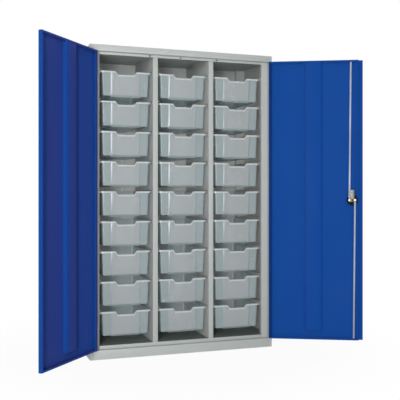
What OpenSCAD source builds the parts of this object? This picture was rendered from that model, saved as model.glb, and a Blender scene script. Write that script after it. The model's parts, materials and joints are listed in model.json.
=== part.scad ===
// Parts bin cabinet: a steel cabinet with two hinged doors and 27 hanging plastic trays.
// Units are millimetres. +Z is up, the front faces -Y, and the origin is the middle of
// the footprint on the floor. The trays set the size of everything around them.

/* [Trays] */
// Tray width over the rim
tray_w = 312; // [240:1:360]
// Tray length, front to back
tray_l = 427; // [340:1:520]
// Tray height, base to rim
tray_h = 150; // [110:1:190]
// Wall thickness of a tray
tray_wall = 2; // [1.6:0.1:3]
// How far the rim stands out past the walls
rim_overhang = 13; // [11:0.5:18]
// Height of the rim's turned-down edge
rim_drop = 10; // [6:0.5:12]
// How far each wall leans in from rim to base
tray_taper = 7; // [3:0.5:12]
// How far the front edge dips in the middle
scoop_depth = 20; // [8:1:30]
// Width of the dip at its bottom
scoop_w = 100; // [60:1:140]
// Width of the raised front panel and of the foot under it
panel_w = 168; // [120:1:200]
// Height of the foot
foot_h = 5; // [2:0.5:10]

/* [Cabinet] */
// Space between a tray's rim and the bay wall
side_gap = 6; // [4:0.5:10]
// Free height between a rim and the base of the tray above
row_gap = 27; // [20:1:60]
// Free height under the lowest trays
floor_gap = 45; // [20:1:90]
// Free height over the highest trays
top_gap = 122; // [60:1:200]
// Free depth behind the trays
rear_gap = 12; // [6:1:60]
// Width of the hollow dividers between the bays
divider_w = 30; // [20:1:60]
// Width of the stiles at the two sides
stile_w = 59; // [50:1:80]
// Thickness of the body's sheet
sheet = 1.2; // [1:0.1:2]
// Thickness of the back sheet
back_sheet = 1; // [0.8:0.1:2]
// Height of the plinth front
plinth_h = 55; // [40:1:90]
// Height of the sill that stands up behind the plinth
sill_h = 20; // [12:1:40]
// Width of the support under the middle of the floor
support_w = 60; // [30:1:120]
// Height of the header front
header_h = 37; // [36:1:60]
// Height of the lip that hangs behind the header
header_lip = 15; // [12:1:24]
// Thickness of the hollow roof
roof_h = 22; // [18:1:22]
// Width of the posts that carry the outer runners
post_depth = 30; // [20:1:50]
// Thickness of the runner sheet
runner_sheet = 1; // [0.8:0.1:1.5]
// Width of each pressed rib in the back sheet
rib_w = 28; // [16:1:50]
// Height of the ribs
rib_h = 3; // [1:0.5:6]
// Distance of the ribs' ends from the floor and the roof
rib_end = 30; // [10:1:100]
// Diameter of the door buffers
buffer_d = 10; // [6:0.5:14]
// How far the buffers stand out
buffer_t = 2.6; // [1:0.1:2.8]
// Diameter of the rivet heads in the stiles
rivet_d = 6; // [4:0.5:8]
// Height of the rivet heads
rivet_h = 1.5; // [0.5:0.1:2]
// Distance of the upper rivets below the header
rivet_drop = 122; // [60:1:200]
// Distance between the two rivets of a stile
rivet_gap = 36; // [20:1:80]

/* [Doors] */
// Depth of the door pans
door_depth = 22; // [20:0.5:24]
// Gap above and below each door
door_gap = 3; // [2:0.5:5]
// Gap between the two doors
meeting_gap = 4; // [3:0.5:6]
// Thickness of the door sheet
door_sheet = 1.2; // [1:0.1:1.5]
// Width of the return lip on a door's free edges
door_lip = 12; // [10:1:16]
// Width of the return lip on a door's hinge edge
hinge_lip = 18; // [12:1:30]
// Width of the stiffener inside a door
stiffener_w = 100; // [60:1:140]
// Distance of the stiffener's lower end from the door's edge
stiffener_rise = 55; // [20:1:120]
// Left door's opening in the rest pose, degrees
left_open = 131; // [0:1:175]
// Right door's opening in the rest pose, degrees
right_open = 154; // [0:1:175]
// How far the closing strip reaches past the right door
strip_reach = 28; // [10:1:40]

/* [Hinges] */
// Distance of the hinge pins from the outer sides
hinge_inset = 22; // [20:1:26]
// Outside diameter of the hinge barrel
barrel_d = 7; // [6:0.5:7]
// Hinge pin diameter
pin_d = 3; // [2:0.1:3.5]
// Knuckles on each hinge, an even number
knuckles = 24; // [16:2:40]
// Thickness of the hinge leaves
leaf_t = 1.2; // [0.8:0.1:1.3]

/* [Lock] */
// Distance of the lock from the right door's free edge
lock_inset = 37.6; // [37:0.1:50]
// Diameter of the handle cup
cup_d = 68; // [56:1:70]
// Depth of the handle cup
cup_depth = 13; // [11:0.5:13]
// Distance of each rod's pin from the spindle
crank = 17; // [14:0.5:20]
// Spindle diameter
spindle_d = 12; // [8:0.5:14]
// Diameter of the handle's hub
hub_d = 26; // [20:1:32]
// Length of the lock's tongue from the spindle
tongue_l = 63; // [55:1:75]
// Width of the tongue
tongue_w = 23; // [12:1:26]
// Width of the lock plate's arms
arm_w = 18; // [14:0.5:24]
// Width of the locking rods
rod_w = 10; // [8:0.5:14]
// Room beside a rod in its slots
rod_play = 5; // [4:0.5:7]
// Thickness of the locking rods
rod_t = 3; // [2:0.5:3]
// Height of the guides where the rods leave the door
guide_h = 10; // [6:1:16]
// Wall of the guides on each side of a rod's slot
guide_wall = 8; // [4:0.5:12]

/* [Hidden] */
rows = 9;
fit = 0.05;
seat = 0.1;
ride = 0.3;
bay_w = tray_w + 2 * side_gap;
body_w = 3 * bay_w + 2 * divider_w + 2 * stile_w;
step_y = door_depth + 3;
inner_y = step_y + sheet + seat;
tray_y = step_y + 10;
rear_y = tray_y + tray_l + rear_gap;
base_rear = rear_y - sheet - seat;
body_d = rear_y + back_sheet;
floor_z = plinth_h + sill_h;
pitch = tray_h + row_gap;
first_z = floor_z + floor_gap;
roof_z = first_z + (rows - 1) * pitch + tray_h + top_gap;
body_h = roof_z + roof_h;
header_z = body_h - header_h;
bay_x = [stile_w, stile_w + bay_w + divider_w, stile_w + 2 * (bay_w + divider_w)];
strip_x = hinge_inset - 0.3 - leaf_t;
door_x0 = hinge_inset + 0.3 + leaf_t;
door_x1 = body_w / 2 - meeting_gap / 2;
door_z0 = plinth_h + door_gap;
door_z1 = header_z - door_gap;
hinge_y = -barrel_d / 2;
knuckle_h = (door_z1 - door_z0) / knuckles;
lock_x = door_x1 - lock_inset;
lock_z = (door_z0 + door_z1) / 2;
cup_wall = 2.5;
cup_cavity = cup_depth - 2;
rod_y = cup_depth + 0.5;
rod_l = door_z1 - 1 - lock_z;
rod_lean = asin(crank / 2 / rod_l);
slot_w = rod_w + 2 * rod_play;
slot_shift = crank * 0.6;
cam_y = door_depth + 1;
$fn = 48;

// ---- placing -------------------------------------------------------------------
// Everything is drawn from the body's left front bottom corner, with y going inward.

module corner()
    translate([-body_w / 2, -body_d / 2, 0])
        children();

module from_right()
    mirror([1, 0, 0])
        corner()
            children();

module swing(side, angle)
    translate([side * (body_w / 2 - hinge_inset), hinge_y - body_d / 2, 0])
        rotate([0, 0, side * angle])
            translate([-side * (body_w / 2 - hinge_inset), body_d / 2 - hinge_y, 0])
                children();

module on_left_door()
    swing(-1, left_open)
        corner()
            children();

module on_right_door()
    swing(1, right_open)
        from_right()
            children();

module box(x0, x1, y0, y1, z0, z1)
    translate([x0, y0, z0])
        cube([x1 - x0, y1 - y0, z1 - z0]);

module along_y(y0, y1)
    translate([0, y1, 0])
        rotate([90, 0, 0])
            linear_extrude(y1 - y0)
                children();

module along_x(x0, x1)
    translate([x0, 0, 0])
        rotate([90, 0, 90])
            linear_extrude(x1 - x0)
                children();

module along_z(z0, z1)
    translate([0, 0, z0])
        linear_extrude(z1 - z0)
            children();

// A round bar that runs inward from y0 to y1, measured from the lock's centre.
module disc(d, y0, y1, x = 0, z = 0)
    translate([x, y1, z])
        rotate([90, 0, 0])
            cylinder(d = d, h = y1 - y0);

// ---- body ----------------------------------------------------------------------

module side_panel() {
    difference() {
        along_z(0, body_h)
            polygon([[0, 0], [strip_x, 0], [strip_x, step_y], [stile_w, step_y],
                [stile_w, step_y + sheet], [strip_x - sheet, step_y + sheet],
                [strip_x - sheet, sheet], [sheet, sheet], [sheet, rear_y - sheet],
                [16, rear_y - sheet], [16, rear_y], [0, rear_y]]);
        box(sheet, stile_w + 1, sheet, body_d, roof_z, body_h + 1);
    }
}

module left_side_panel()
    color([0.67, 0.69, 0.67])
        corner()
            side_panel();

module right_side_panel()
    color([0.67, 0.69, 0.67])
        from_right()
            side_panel();

// The back sheet has two shallow pressed ribs in each bay.
module back_panel()
    color([0.67, 0.69, 0.67])
        corner() {
            box(0, body_w, rear_y, body_d, 0, body_h);
            for (x = bay_x)
                for (side = [0.25, 0.75])
                    translate([x + side * bay_w, rear_y, 0])
                        along_z(floor_z + rib_end, roof_z - rib_end)
                            polygon([[-rib_w / 2, back_sheet / 2], [-rib_w / 2, 0],
                                [2 * rib_h - rib_w / 2, -rib_h], [rib_w / 2 - 2 * rib_h, -rib_h],
                                [rib_w / 2, 0], [rib_w / 2, back_sheet / 2]]);
        }

// The roof is a hollow box whose open rear is closed by the back sheet.
module top_panel()
    color([0.67, 0.69, 0.67])
        corner()
            difference() {
                box(sheet + seat, body_w - sheet - seat, sheet + seat, rear_y, roof_z, body_h);
                box(2 * sheet + seat, body_w - 2 * sheet - seat, 2 * sheet + seat, rear_y + 1,
                    roof_z + sheet, body_h - sheet);
            }

// Where a locking rod passes through the sheet above or below the doors.
module keeper_slot(x, z)
    box(x - slot_w / 2 - 2, x + slot_w / 2 + 2, rod_y - 2, rod_y + rod_t + 2, z - 5, z + 5);

module header_rail()
    color([0.67, 0.69, 0.67])
        corner()
            difference() {
                union() {
                    box(strip_x, body_w - strip_x, 0, sheet, header_z, body_h);
                    box(strip_x, body_w - strip_x, 0, step_y, header_z, header_z + sheet);
                    box(stile_w, body_w - stile_w, step_y, step_y + sheet,
                        header_z - header_lip, header_z + sheet);
                }
                keeper_slot(body_w - lock_x + slot_shift, header_z);
            }

// The inner floor is a folded pan, and a hat section under its middle stands on the ground.
module base_panel()
    color([0.67, 0.69, 0.67])
        corner() {
            difference() {
                box(sheet + seat, body_w - sheet - seat, inner_y, base_rear, plinth_h, floor_z);
                box(2 * sheet + seat, body_w - 2 * sheet - seat, inner_y + sheet,
                    base_rear - sheet, plinth_h - 1, floor_z - sheet);
            }
            translate([body_w / 2, 0, 0])
                along_y(inner_y + sheet + seat, base_rear - sheet - seat)
                    support_section();
        }

module support_section() {
    half = support_w / 2;
    top = floor_z - sheet;
    polygon([[-half, 0], [half, 0], [half, top - sheet], [half + 15, top - sheet],
        [half + 15, top], [half - sheet, top], [half - sheet, sheet], [sheet - half, sheet],
        [sheet - half, top], [-half - 15, top], [-half - 15, top - sheet], [-half, top - sheet]]);
}

// Front, ledge and sill are solids of their own, so that the rod's slot stays open.
module plinth()
    color([0.67, 0.69, 0.67])
        corner() {
            box(strip_x, body_w - strip_x, 0, sheet, 0, plinth_h);
            difference() {
                box(strip_x, body_w - strip_x, sheet + seat, step_y - seat,
                    plinth_h - sheet, plinth_h);
                keeper_slot(body_w - lock_x - slot_shift, plinth_h);
            }
            box(stile_w, body_w - stile_w, step_y, step_y + sheet, plinth_h - sheet, floor_z);
        }

module divider(x)
    corner()
        difference() {
            box(x, x + divider_w, inner_y, rear_y, floor_z, roof_z);
            box(x + sheet, x + divider_w - sheet, inner_y + sheet, rear_y - sheet,
                floor_z - 1, roof_z + 1);
        }

module left_divider()
    color([0.67, 0.69, 0.67])
        divider(bay_x[0] + bay_w);

module right_divider()
    color([0.67, 0.69, 0.67])
        divider(bay_x[1] + bay_w);

module post(y)
    difference() {
        box(sheet + seat, stile_w, y, y + post_depth, floor_z, roof_z);
        box(2 * sheet + seat, stile_w - sheet, y + sheet, y + post_depth - sheet,
            floor_z - 1, roof_z + 1);
    }

module runner_posts()
    color([0.67, 0.69, 0.67])
        for (side = [0, 1])
            mirror([side, 0, 0])
                corner() {
                    post(inner_y);
                    post(rear_y - sheet - post_depth);
                }

// One channel: the rim's turned-down edge hangs on the lower ledge.
module channel(row) {
    rim_z = first_z + row * pitch + tray_h;
    low = rim_z - rim_drop - ride;
    high = rim_z + 8;
    along_y(inner_y + 1, rear_y - 2)
        polygon([[0, low - runner_sheet], [side_gap + rim_overhang - 5, low - runner_sheet],
            [side_gap + rim_overhang - 5, low], [runner_sheet, low], [runner_sheet, high],
            [side_gap + 6, high], [side_gap + 6, high + runner_sheet], [0, high + runner_sheet]]);
}

module channels(x, facing)
    for (row = [0 : rows - 1])
        translate([x, 0, 0])
            mirror([facing < 0 ? 1 : 0, 0, 0])
                channel(row);

module left_wall_runners()
    color([0.67, 0.69, 0.67])
        corner()
            channels(bay_x[0], 1);

module left_divider_runners()
    color([0.67, 0.69, 0.67])
        corner() {
            channels(bay_x[0] + bay_w, -1);
            channels(bay_x[1], 1);
        }

module right_divider_runners()
    color([0.67, 0.69, 0.67])
        corner() {
            channels(bay_x[1] + bay_w, -1);
            channels(bay_x[2], 1);
        }

module right_wall_runners()
    color([0.67, 0.69, 0.67])
        corner()
            channels(bay_x[2] + bay_w, -1);

module door_buffers()
    color([0.12, 0.12, 0.12])
        corner()
            for (x = [bay_x[0] + bay_w - 2 * buffer_d, bay_x[1] + bay_w / 2 - 2 * buffer_d,
                bay_x[2] + 2 * buffer_d])
                translate([x, 0, header_z - header_lip / 2])
                    disc(buffer_d, step_y - buffer_t, step_y);

module frame_rivets()
    color([0.55, 0.56, 0.56])
        for (side = [0, 1])
            mirror([side, 0, 0])
                corner()
                    for (drop = [rivet_drop, rivet_drop + rivet_gap])
                        translate([(strip_x + stile_w) / 2, 0, header_z - drop])
                            disc(rivet_d, step_y - rivet_h, step_y);

// ---- hinges --------------------------------------------------------------------

// One leaf of the long hinge with every second knuckle.
module hinge_leaf(x0, first)
    difference() {
        union() {
            box(x0, x0 + leaf_t, 0.3, door_depth - 2, door_z0, door_z1);
            for (i = [first : 2 : knuckles - 1])
                translate([0, 0, door_z0 + i * knuckle_h + 0.15]) {
                    translate([hinge_inset, hinge_y, 0])
                        cylinder(d = barrel_d, h = knuckle_h - 0.3);
                    box(x0, x0 + leaf_t, -1.2, 0.5, 0, knuckle_h - 0.3);
                }
        }
        translate([hinge_inset, hinge_y, door_z0 - 1])
            cylinder(d = pin_d + 2 * fit, h = door_z1 - door_z0 + 2);
    }

module left_hinge_frame_leaf()
    color([0.67, 0.69, 0.67])
        corner()
            hinge_leaf(strip_x, 0);

module right_hinge_frame_leaf()
    color([0.67, 0.69, 0.67])
        from_right()
            hinge_leaf(strip_x, 0);

module hinge_pins()
    color([0.75, 0.76, 0.77])
        for (side = [0, 1])
            mirror([side, 0, 0])
                corner()
                    translate([hinge_inset, hinge_y, 0]) {
                        translate([0, 0, door_z0 - 1])
                            cylinder(d = pin_d, h = door_z1 - door_z0 + 2);
                        translate([0, 0, door_z0 - 1])
                            cylinder(d = barrel_d - 1, h = 1);
                        translate([0, 0, door_z1])
                            cylinder(d = barrel_d - 1, h = 1);
                    }

module left_hinge_door_leaf()
    color([0.10, 0.22, 0.62])
        on_left_door()
            hinge_leaf(hinge_inset + 0.3, 1);

module right_hinge_door_leaf()
    color([0.10, 0.22, 0.62])
        on_right_door()
            hinge_leaf(hinge_inset + 0.3, 1);

// ---- doors ---------------------------------------------------------------------

// A folded pan, open toward the inside between its return lips.
module door_pan()
    difference() {
        box(door_x0, door_x1, 0, door_depth, door_z0, door_z1);
        box(door_x0 + door_sheet, door_x1 - door_sheet, door_sheet, door_depth - door_sheet,
            door_z0 + door_sheet, door_z1 - door_sheet);
        box(door_x0 + hinge_lip, door_x1 - door_lip, door_depth - 2 * door_sheet, door_depth + 1,
            door_z0 + door_lip, door_z1 - door_lip);
    }

// A hat section behind the skin, half way across.
module stiffener() {
    mid = (door_x0 + door_x1) / 2;
    half = stiffener_w / 2;
    crown = door_depth - door_sheet - 0.2;
    along_z(door_z0 + stiffener_rise, door_z1 - 8)
        polygon([[mid - half - 12, door_sheet], [mid - half + 1, door_sheet],
            [mid - half + 1, crown - 1], [mid + half - 1, crown - 1], [mid + half - 1, door_sheet],
            [mid + half + 12, door_sheet], [mid + half + 12, door_sheet + 1],
            [mid + half, door_sheet + 1], [mid + half, crown], [mid - half, crown],
            [mid - half, door_sheet + 1], [mid - half - 12, door_sheet + 1]]);
}

module left_door_panel()
    color([0.10, 0.22, 0.62])
        on_left_door()
            door_pan();

module left_door_stiffener()
    color([0.10, 0.22, 0.62])
        on_left_door()
            stiffener();

// The right pan also has the handle's hole, a notch in its lip and two rod slots.
module right_door_panel()
    color([0.10, 0.22, 0.62])
        on_right_door()
            difference() {
                door_pan();
                translate([lock_x, 0, lock_z]) {
                    disc(cup_d + 0.6, -1, door_sheet + 1);
                    disc(cup_d + 4, door_depth - 3, door_depth + 1);
                }
                rod_slot(lock_x - slot_shift, door_z1);
                rod_slot(lock_x + slot_shift, door_z0);
            }

module rod_slot(x, z)
    box(x - slot_w / 2, x + slot_w / 2, rod_y - 0.5, rod_y + rod_t + 0.5, z - 15, z + 15);

module right_door_stiffener()
    color([0.10, 0.22, 0.62])
        on_right_door()
            stiffener();

module closing_strip()
    color([0.10, 0.22, 0.62])
        on_right_door()
            along_z(door_z0, door_z1)
                polygon([[door_x1, -1.7], [door_x1 + strip_reach, -1.7],
                    [door_x1 + strip_reach, -0.5], [door_x1 + 1.2, -0.5], [door_x1 + 1.2, 12],
                    [door_x1, 12]]);

// ---- lock ----------------------------------------------------------------------

module at_lock()
    on_right_door()
        translate([lock_x, 0, lock_z])
            children();

module handle_housing()
    color([0.06, 0.06, 0.06])
        at_lock()
            difference() {
                union() {
                    disc(cup_d + 4, -2, 0);
                    disc(cup_d, -1, cup_depth);
                }
                disc(cup_d - 2 * cup_wall, -3, cup_cavity);
                disc(spindle_d + 2 * fit, cup_cavity - 1, cup_depth + 1);
            }

module turn_handle()
    color([0.08, 0.08, 0.08])
        at_lock()
            difference() {
                union() {
                    box(-8, 8, -1, cup_cavity - 2, 3 - cup_d / 2 + cup_wall, cup_d / 2 - cup_wall - 3);
                    disc(hub_d, -3, cup_cavity - ride);
                    disc(spindle_d, 0, cam_y + 4.5);
                }
                disc(13 + 2 * fit, -4, 3);
            }

module lock_barrel()
    color([0.78, 0.78, 0.76])
        at_lock()
            difference() {
                disc(13, -3.6, 3);
                box(-1, 1, -4, -1, -3.5, 3.5);
            }

// The plate behind the pan: a tongue for the other door and a pin for each rod.
module lock_cam()
    color([0.72, 0.70, 0.62])
        at_lock()
            difference() {
                union() {
                    box(-crank, crank, cam_y, cam_y + 3, -arm_w / 2, arm_w / 2);
                    box(-tongue_w / 2, tongue_w / 2, cam_y, cam_y + 3, 0, tongue_l);
                    for (side = [-1, 1]) {
                        disc(arm_w, cam_y, cam_y + 3, x = side * crank);
                        disc(6, cup_depth + 0.2, cam_y + 3, x = side * crank);
                        disc(10, rod_y + rod_t + ride, cam_y + 1, x = side * crank);
                    }
                }
                disc(spindle_d + 2 * fit, cam_y - 1, cam_y + 4);
            }

// A flat bar that leans a little from its pin to its slot in the door's edge.
module rod(side)
    translate([-side * crank, 0, 0])
        rotate([0, rod_lean, 0])
            difference() {
                union() {
                    disc(14, rod_y, rod_y + rod_t);
                    box(-rod_w / 2, rod_w / 2, rod_y, rod_y + rod_t,
                        side > 0 ? 0 : -rod_l, side > 0 ? rod_l : 0);
                }
                disc(6 + 2 * fit, rod_y - 1, rod_y + rod_t + 1);
            }

module upper_rod()
    color([0.74, 0.74, 0.72])
        at_lock()
            rod(1);

module lower_rod()
    color([0.74, 0.74, 0.72])
        at_lock()
            rod(-1);

module guide_block(x, z0, z1)
    difference() {
        box(x - slot_w / 2 - guide_wall, x + slot_w / 2 + guide_wall,
            rod_y - guide_wall / 2 - 0.5, rod_y + rod_t + 3, z0, z1);
        rod_slot(x, (z0 + z1) / 2);
    }

module rod_guides()
    color([0.08, 0.08, 0.08])
        on_right_door() {
            guide_block(lock_x - slot_shift, door_z1 - door_sheet - guide_h,
                door_z1 - door_sheet);
            guide_block(lock_x + slot_shift, door_z0 + door_sheet,
                door_z0 + door_sheet + guide_h);
        }

// ---- trays ---------------------------------------------------------------------

// The tapered block that a tray's walls follow, brought in by inset.
module tray_block(inset, z0, z1) {
    low = tray_taper * (1 - z0 / tray_h) + inset;
    high = tray_taper * (1 - z1 / tray_h) + inset;
    half = tray_w / 2 - rim_overhang;
    back = tray_l - rim_overhang;
    intersection() {
        along_y(-5, tray_l)
            polygon([[low - half, z0], [half - low, z0], [half - high, z1], [high - half, z1]]);
        along_x(-tray_w / 2, tray_w / 2)
            polygon([[9 + low, z0], [back - low, z0], [back - high, z1], [9 + high, z1]]);
    }
}

module foot(inset, half, z0, z1)
    intersection() {
        tray_block(inset, z0, z1);
        box(-half, half, 0, tray_l, z0, z1);
    }

module rim_outline(inset)
    polygon([[inset - tray_w / 2, 12], [12 - tray_w / 2, inset], [tray_w / 2 - 12, inset],
        [tray_w / 2 - inset, 12], [tray_w / 2 - inset, tray_l - 12],
        [tray_w / 2 - 12, tray_l - inset], [12 - tray_w / 2, tray_l - inset],
        [inset - tray_w / 2, tray_l - 12]]);

// The front edge's line, from the rim down into the dip, moved out by drop.
module dip(drop, thick, reach) {
    a = scoop_w / 2;
    b = a + 14;
    top = tray_h - drop;
    low = top - scoop_depth;
    shift = tan(27.5);
    polygon([[-b - reach, top], [-b - drop * shift, top], [-a - drop * shift, low],
        [a + drop * shift, low], [b + drop * shift, top], [b + reach, top],
        [b + reach, top - thick], [b + (drop + thick) * shift, top - thick],
        [a + (drop + thick) * shift, low - thick], [-a - (drop + thick) * shift, low - thick],
        [-b - (drop + thick) * shift, top - thick], [-b - reach, top - thick]]);
}

module tray()
    difference() {
        union() {
            difference() {
                union() {
                    tray_block(0, foot_h, tray_h);
                    foot(4, panel_w / 2, 0, foot_h + 1);
                    along_z(tray_h - 2, tray_h)
                        rim_outline(0);
                    along_z(tray_h - rim_drop, tray_h)
                        difference() {
                            rim_outline(0);
                            rim_outline(2);
                        }
                }
                along_y(-6, 2 * rim_overhang + 4)
                    polygon([[-scoop_w / 2 - 14.7, tray_h + 1],
                        [-scoop_w / 2, tray_h - scoop_depth],
                        [scoop_w / 2, tray_h - scoop_depth],
                        [scoop_w / 2 + 14.7, tray_h + 1]]);
            }
            along_y(0, 13)
                dip(0, 2, 12);
            along_y(0, 2)
                dip(0, 11, 20);
            intersection() {
                tray_block(-1.5, foot_h, tray_h - scoop_depth - 16);
                box(-panel_w / 2, panel_w / 2, 0, 3 * rim_overhang, 0, tray_h);
            }
        }
        foot(4 + tray_wall, panel_w / 2 - tray_wall, tray_wall, foot_h + tray_wall + 1);
        tray_block(tray_wall, foot_h + tray_wall, tray_h + 1);
    }

module tray_at(column, row)
    color([0.64, 0.67, 0.68, 0.8])
        corner()
            translate([bay_x[column - 1] + bay_w / 2, tray_y, first_z + (rows - row) * pitch])
                tray();

// Columns run from the left, rows from the top.
module tray_c1_r1() tray_at(1, 1);
module tray_c1_r2() tray_at(1, 2);
module tray_c1_r3() tray_at(1, 3);
module tray_c1_r4() tray_at(1, 4);
module tray_c1_r5() tray_at(1, 5);
module tray_c1_r6() tray_at(1, 6);
module tray_c1_r7() tray_at(1, 7);
module tray_c1_r8() tray_at(1, 8);
module tray_c1_r9() tray_at(1, 9);
module tray_c2_r1() tray_at(2, 1);
module tray_c2_r2() tray_at(2, 2);
module tray_c2_r3() tray_at(2, 3);
module tray_c2_r4() tray_at(2, 4);
module tray_c2_r5() tray_at(2, 5);
module tray_c2_r6() tray_at(2, 6);
module tray_c2_r7() tray_at(2, 7);
module tray_c2_r8() tray_at(2, 8);
module tray_c2_r9() tray_at(2, 9);
module tray_c3_r1() tray_at(3, 1);
module tray_c3_r2() tray_at(3, 2);
module tray_c3_r3() tray_at(3, 3);
module tray_c3_r4() tray_at(3, 4);
module tray_c3_r5() tray_at(3, 5);
module tray_c3_r6() tray_at(3, 6);
module tray_c3_r7() tray_at(3, 7);
module tray_c3_r8() tray_at(3, 8);
module tray_c3_r9() tray_at(3, 9);

// ---- what is drawn -------------------------------------------------------------

left_side_panel();
right_side_panel();
back_panel();
top_panel();
header_rail();
base_panel();
plinth();
left_divider();
right_divider();
left_wall_runners();
left_divider_runners();
right_divider_runners();
right_wall_runners();
runner_posts();
door_buffers();
frame_rivets();
left_hinge_frame_leaf();
right_hinge_frame_leaf();
hinge_pins();
left_door_panel();
left_door_stiffener();
left_hinge_door_leaf();
right_door_panel();
right_door_stiffener();
right_hinge_door_leaf();
closing_strip();
handle_housing();
rod_guides();
turn_handle();
lock_barrel();
lock_cam();
upper_rod();
lower_rod();
tray_c1_r1();
tray_c1_r2();
tray_c1_r3();
tray_c1_r4();
tray_c1_r5();
tray_c1_r6();
tray_c1_r7();
tray_c1_r8();
tray_c1_r9();
tray_c2_r1();
tray_c2_r2();
tray_c2_r3();
tray_c2_r4();
tray_c2_r5();
tray_c2_r6();
tray_c2_r7();
tray_c2_r8();
tray_c2_r9();
tray_c3_r1();
tray_c3_r2();
tray_c3_r3();
tray_c3_r4();
tray_c3_r5();
tray_c3_r6();
tray_c3_r7();
tray_c3_r8();
tray_c3_r9();
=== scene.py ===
import json
import math

import bmesh
import bpy
from mathutils import Matrix, Vector


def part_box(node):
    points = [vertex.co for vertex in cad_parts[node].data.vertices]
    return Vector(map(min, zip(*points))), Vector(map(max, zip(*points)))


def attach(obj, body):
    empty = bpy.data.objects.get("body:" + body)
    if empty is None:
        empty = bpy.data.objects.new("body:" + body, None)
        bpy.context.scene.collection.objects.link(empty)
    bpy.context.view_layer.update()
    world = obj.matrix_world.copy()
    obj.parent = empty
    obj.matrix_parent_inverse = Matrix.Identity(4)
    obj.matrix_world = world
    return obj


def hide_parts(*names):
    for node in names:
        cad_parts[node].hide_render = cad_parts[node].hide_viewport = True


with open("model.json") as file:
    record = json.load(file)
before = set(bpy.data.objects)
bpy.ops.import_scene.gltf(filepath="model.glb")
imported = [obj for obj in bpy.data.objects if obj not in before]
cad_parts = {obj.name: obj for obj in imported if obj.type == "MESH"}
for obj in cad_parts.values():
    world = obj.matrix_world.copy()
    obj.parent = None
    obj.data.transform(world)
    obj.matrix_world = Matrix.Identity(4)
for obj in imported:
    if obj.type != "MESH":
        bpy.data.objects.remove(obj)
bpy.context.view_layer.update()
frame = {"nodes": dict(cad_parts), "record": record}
nodes = frame["nodes"]
print("frame loaded,", len(nodes), "nodes")

view = {
    "place": (-1.2865, -4.2298, 0.9617),
    "yaw": 19.1,          # degrees toward +X
    "lens": 62.5,
    "shiftY": -0.015,
}

camera = bpy.data.objects.new("viewCamera", bpy.data.cameras.new("viewCamera"))
bpy.context.scene.collection.objects.link(camera)
camera.location = view["place"]
camera.rotation_euler = (math.radians(90), 0, math.radians(-view["yaw"]))
camera.data.lens = view["lens"]
camera.data.sensor_width = 36
camera.data.shift_y = view["shiftY"]
camera.data.clip_start = 0.1
camera.data.clip_end = 200
bpy.context.scene.camera = camera
print("camera set")

speck = 0.00001   # points nearer than this are one point
hair = 0.0001     # places nearer than this count as the same, and parts that fuse lap by this
near = 0.001      # reach for picking what lies beside a place
along = 0.9       # a unit direction with this much on an axis lies along that axis


def clearSelection():
    if bpy.context.mode != "OBJECT":
        bpy.ops.object.mode_set(mode="OBJECT")
    bpy.ops.object.select_all(action="DESELECT")


def choose(piece):
    clearSelection()
    bpy.context.view_layer.objects.active = piece
    piece.select_set(True)


def startEdit(piece, kind="FACE"):  # in edit mode with nothing selected
    choose(piece)
    bpy.ops.object.mode_set(mode="EDIT")
    bpy.ops.mesh.select_mode(type=kind)
    bpy.ops.mesh.select_all(action="DESELECT")


def endEdit():
    bpy.ops.object.mode_set(mode="OBJECT")


def pickFaces(piece, test):  # test gets a face's middle and normal
    bpy.ops.mesh.select_mode(type="FACE")
    bpy.ops.mesh.select_all(action="DESELECT")
    shape = bmesh.from_edit_mesh(piece.data)
    for face in shape.faces:
        face.select_set(test(face.calc_center_median(), face.normal))
    bmesh.update_edit_mesh(piece.data)


def pickEdges(piece, test):  # test gets an edge's middle, its direction and its number of faces
    bpy.ops.mesh.select_mode(type="EDGE")
    bpy.ops.mesh.select_all(action="DESELECT")
    shape = bmesh.from_edit_mesh(piece.data)
    for edge in shape.edges:
        a, b = edge.verts
        span = b.co - a.co
        way = span.normalized() if span.length > 1e-9 else span
        edge.select_set(test((a.co + b.co) / 2, way, len(edge.link_faces)))
    bmesh.update_edit_mesh(piece.data)


def pickPoints(piece, test):  # test gets a point's place
    bpy.ops.mesh.select_mode(type="VERT")
    bpy.ops.mesh.select_all(action="DESELECT")
    shape = bmesh.from_edit_mesh(piece.data)
    for point in shape.verts:
        point.select_set(test(point.co))
    bmesh.update_edit_mesh(piece.data)


def newBlock(name, low, high):
    clearSelection()
    low, high = Vector(low), Vector(high)
    bpy.ops.mesh.primitive_cube_add(size=1, location=(low + high) / 2, scale=high - low)
    bpy.ops.object.transform_apply(location=True, rotation=True, scale=True)
    piece = bpy.context.active_object
    piece.name = name
    return piece


def newRod(name, centre, radius, length, axis="Z", sides=32):
    clearSelection()
    turn = {"X": (0, math.pi / 2, 0), "Y": (math.pi / 2, 0, 0), "Z": (0, 0, 0)}[axis]
    bpy.ops.mesh.primitive_cylinder_add(vertices=sides, radius=radius, depth=length,
                                        location=centre, rotation=turn)
    bpy.ops.object.transform_apply(location=True, rotation=True, scale=True)
    piece = bpy.context.active_object
    piece.name = name
    return piece


def joinPieces(name, parts):
    clearSelection()
    for part in parts:
        part.select_set(True)
    bpy.context.view_layer.objects.active = parts[0]
    bpy.ops.object.join()
    parts[0].name = name
    return parts[0]


def applyModifier(piece, kind, **settings):
    choose(piece)
    modifier = piece.modifiers.new(kind.title(), kind)
    for key, value in settings.items():
        setattr(modifier, key, value)
    bpy.ops.object.modifier_apply(modifier=modifier.name)


def softenEdges(piece, width, segments=2, angle=50):
    applyModifier(piece, "BEVEL", width=width, segments=segments, limit_method="ANGLE",
                  angle_limit=math.radians(angle), use_clamp_overlap=True)


def smoothFaces(piece, angle=35):
    choose(piece)
    bpy.ops.object.shade_smooth_by_angle(angle=math.radians(angle))


def cutWith(piece, cutter, operation="DIFFERENCE"):
    applyModifier(piece, "BOOLEAN", object=cutter, operation=operation, solver="EXACT")
    bpy.data.objects.remove(cutter)


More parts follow.
